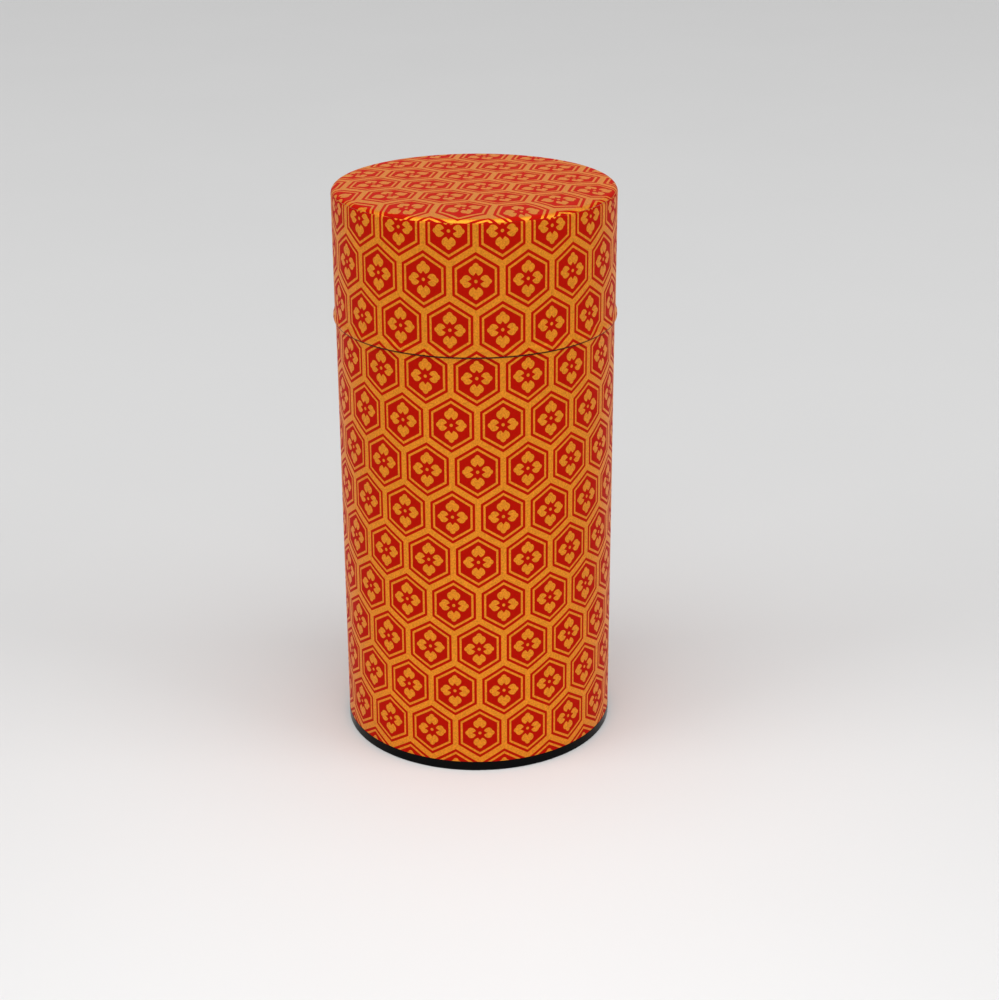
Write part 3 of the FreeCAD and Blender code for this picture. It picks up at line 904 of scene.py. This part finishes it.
class CADDY_OT_body_wrap(bpy.types.Operator):
    """Wrap the canister in printed paper"""

    bl_idname = "caddy.body_wrap"
    bl_label = "Wrap the canister"

    def execute(self, context):
        scene = context.scene
        profile = body_profile()
        piece = wrap_piece("body_wrap", profile, scene.caddy_sheet, strips=1)
        paper = printed_paper(
            "body_print", scene.caddy_print, wrap_print(profile[0].radius), joint=LID_PAPER[0].z)
        dress(piece, "canister", "body_paper", paper, paper_core(scene.caddy_finish))
        return {"FINISHED"}


class CADDY_OT_lid_paper(bpy.types.Operator):
    """Cover the lid with a wrap and a disc of printed paper"""

    bl_idname = "caddy.lid_paper"
    bl_label = "Cover the lid"

    def execute(self, context):
        scene = context.scene
        sheet = scene.caddy_sheet
        core = paper_core(scene.caddy_finish)
        wrap = wrap_piece("lid_wrap", lid_profile(sheet), sheet, strips=3)
        paper = printed_paper(
            "lid_print", scene.caddy_print, wrap_print(lid_edge_radius()), joint=LID_PAPER[0].z)
        dress(wrap, "lid", "lid_paper", paper, core)
        disc = disc_piece("lid_disc", sheet)
        paper = printed_paper("disc_print", scene.caddy_print, disc_print())
        dress(disc, "lid", "lid_top_paper", paper, core)
        return {"FINISHED"}


class CADDY_OT_tinplate(bpy.types.Operator):
    """Give the tube, the collar and both lids their tinplate"""

    bl_idname = "caddy.tinplate"
    bl_label = "Finish the tinplate"

    def execute(self, context):
        coat(tinplate(context.scene.caddy_finish),
             "body_tube", "neck_collar", "inner_lid_pan", "lid_tube", "lid_top")
        return {"FINISHED"}


class CADDY_OT_knob(bpy.types.Operator):
    """Polish the inner lid's knob and its rivet"""

    bl_idname = "caddy.knob"
    bl_label = "Polish the knob"

    def execute(self, context):
        coat(bright_metal(context.scene.caddy_finish), "inner_lid_knob", "knob_rivet")
        return {"FINISHED"}


class CADDY_OT_base(bpy.types.Operator):
    """Lacquer the base"""

    bl_idname = "caddy.base"
    bl_label = "Lacquer the base"

    def execute(self, context):
        coat(black_lacquer(context.scene.caddy_finish), "base_plate")
        return {"FINISHED"}


def make_floor(stage):
    """A pale floor with a painted pool of light in front of the caddy, that can be looked through from
    below.
    """
    reach = FLOOR_REACH
    corners = [(-reach, -reach, 0), (reach, -reach, 0), (reach, reach, 0), (-reach, reach, 0)]
    mesh = bpy.data.meshes.new("floor")
    mesh.from_pydata(corners, [], [(0, 1, 2, 3)])
    floor = bpy.data.objects.new("floor", mesh)
    bpy.context.scene.collection.objects.link(floor)
    paint = Paint("floor", Roughness=0.7, Specular_IOR_Level=0.2)
    place, (x, y, _) = paint.place()
    tooth = paint.noise(place, FLOOR_TOOTH, 3.0)
    # Painted light: a brighter pool of floor colour ahead of the caddy, fading outward.
    behind = y + stage.painted_light_place
    fade = stage.painted_light_reach / 2
    front = (x * x + behind * behind).root().below(fade, fade)
    colour = paint.mix(front, stage.floor_colour, stage.painted_light_colour)
    below = paint.node("NewGeometry", output="Backfacing")
    mesh.materials.append(paint.finish(
        Base_Color=paint.shade(colour, 0.985 + 0.03 * tooth),
        Alpha=1 - below,
    ))


def make_world(stage):
    """Even light all round, with a lighter backdrop for the camera and for reflections."""
    world = bpy.data.worlds.new("studio")
    world.use_nodes = True
    tree = world.node_tree
    background = tree.nodes["Background"]
    background.inputs["Color"].default_value = (1.0, 1.0, 1.0, 1.0)
    path = tree.nodes.new("ShaderNodeLightPath")
    seen = tree.nodes.new("ShaderNodeMath")
    seen.operation = "MAXIMUM"
    strength = tree.nodes.new("ShaderNodeMapRange")
    strength.inputs["To Min"].default_value = stage.ambient
    strength.inputs["To Max"].default_value = stage.backdrop
    tree.links.new(path.outputs["Is Camera Ray"], seen.inputs[0])
    tree.links.new(path.outputs["Is Glossy Ray"], seen.inputs[1])
    tree.links.new(seen.outputs[0], strength.inputs["Value"])
    tree.links.new(strength.outputs["Result"], background.inputs["Strength"])
    bpy.context.scene.world = world


def add_lamp(name, place, power):
    """A square soft lamp that looks at the caddy."""
    light = bpy.data.lights.new(name, "AREA")
    light.size = LAMP_SIZE
    light.energy = power
    lamp = bpy.data.objects.new(name, light)
    lamp.location = place
    lamp.rotation_euler = (Vector(LAMP_TARGET) - Vector(place)).to_track_quat("-Z", "Y").to_euler()
    bpy.context.scene.collection.objects.link(lamp)


def add_sky(stage):
    """Wide and even light from overhead, leaning a little to the front."""
    light = bpy.data.lights.new("sky", "SUN")
    light.energy = stage.sky_strength
    light.angle = SKY_WIDTH
    sky = bpy.data.objects.new("sky", light)
    sky.rotation_euler = (SKY_LEAN, 0, 0)
    bpy.context.scene.collection.objects.link(sky)


def add_camera(stage):
    """The camera of the photograph."""
    lens = bpy.data.cameras.new("camera")
    lens.lens = stage.lens
    lens.clip_start = 0.01
    camera = bpy.data.objects.new("camera", lens)
    turn = Matrix.Rotation(-stage.camera_yaw, 4, "Z")
    tilt = Matrix.Rotation(math.pi / 2 + stage.camera_pitch, 4, "X")
    roll = Matrix.Rotation(stage.camera_roll, 4, "Z")
    camera.matrix_world = Matrix.Translation(stage.camera_place) @ turn @ tilt @ roll
    bpy.context.scene.collection.objects.link(camera)
    bpy.context.scene.camera = camera


class CADDY_OT_stage(bpy.types.Operator):
    """Set up the floor, the light and the camera"""

    bl_idname = "caddy.stage"
    bl_label = "Set up the stage"

    def execute(self, context):
        stage = context.scene.caddy_stage
        context.scene.view_settings.view_transform = "Standard"
        make_floor(stage)
        make_world(stage)
        add_sky(stage)
        add_lamp("key", KEY_PLACE, stage.key_power)
        add_lamp("left", LEFT_PLACE, stage.side_power)
        add_lamp("right", RIGHT_PLACE, stage.side_power)
        add_camera(stage)
        return {"FINISHED"}


class CADDY_PT_panel(bpy.types.Panel):
    """Steps and settings of the tea caddy"""

    bl_idname = "CADDY_PT_panel"
    bl_label = "Tea Caddy"
    bl_space_type = "VIEW_3D"
    bl_region_type = "UI"
    bl_category = "Tea Caddy"

    def draw(self, context):
        for operator in OPERATORS:
            self.layout.operator(operator.bl_idname)
        for name in SETTINGS:
            group = getattr(context.scene, name)
            box = self.layout.box()
            for setting in group.bl_rna.properties:
                if not setting.is_readonly and setting.identifier != "name":
                    box.prop(group, setting.identifier)


SETTINGS = {
    "caddy_print": PrintSettings,
    "caddy_sheet": SheetSettings,
    "caddy_finish": FinishSettings,
    "caddy_stage": StageSettings,
}
OPERATORS = (
    CADDY_OT_body_wrap,
    CADDY_OT_lid_paper,
    CADDY_OT_tinplate,
    CADDY_OT_knob,
    CADDY_OT_base,
    CADDY_OT_stage,
)


def register():
    for group in SETTINGS.values():
        bpy.utils.register_class(group)
    for operator in OPERATORS:
        bpy.utils.register_class(operator)
    bpy.utils.register_class(CADDY_PT_panel)
    for name, group in SETTINGS.items():
        setattr(bpy.types.Scene, name, PointerProperty(type=group))


def unregister():
    for name in SETTINGS:
        delattr(bpy.types.Scene, name)
    bpy.utils.unregister_class(CADDY_PT_panel)
    for operator in reversed(OPERATORS):
        bpy.utils.unregister_class(operator)
    for group in SETTINGS.values():
        bpy.utils.unregister_class(group)


def main():
    register()
    bpy.ops.caddy.body_wrap()
    bpy.ops.caddy.lid_paper()
    bpy.ops.caddy.tinplate()
    bpy.ops.caddy.knob()
    bpy.ops.caddy.base()
    bpy.ops.caddy.stage()


if __name__ == "__main__":
    main()
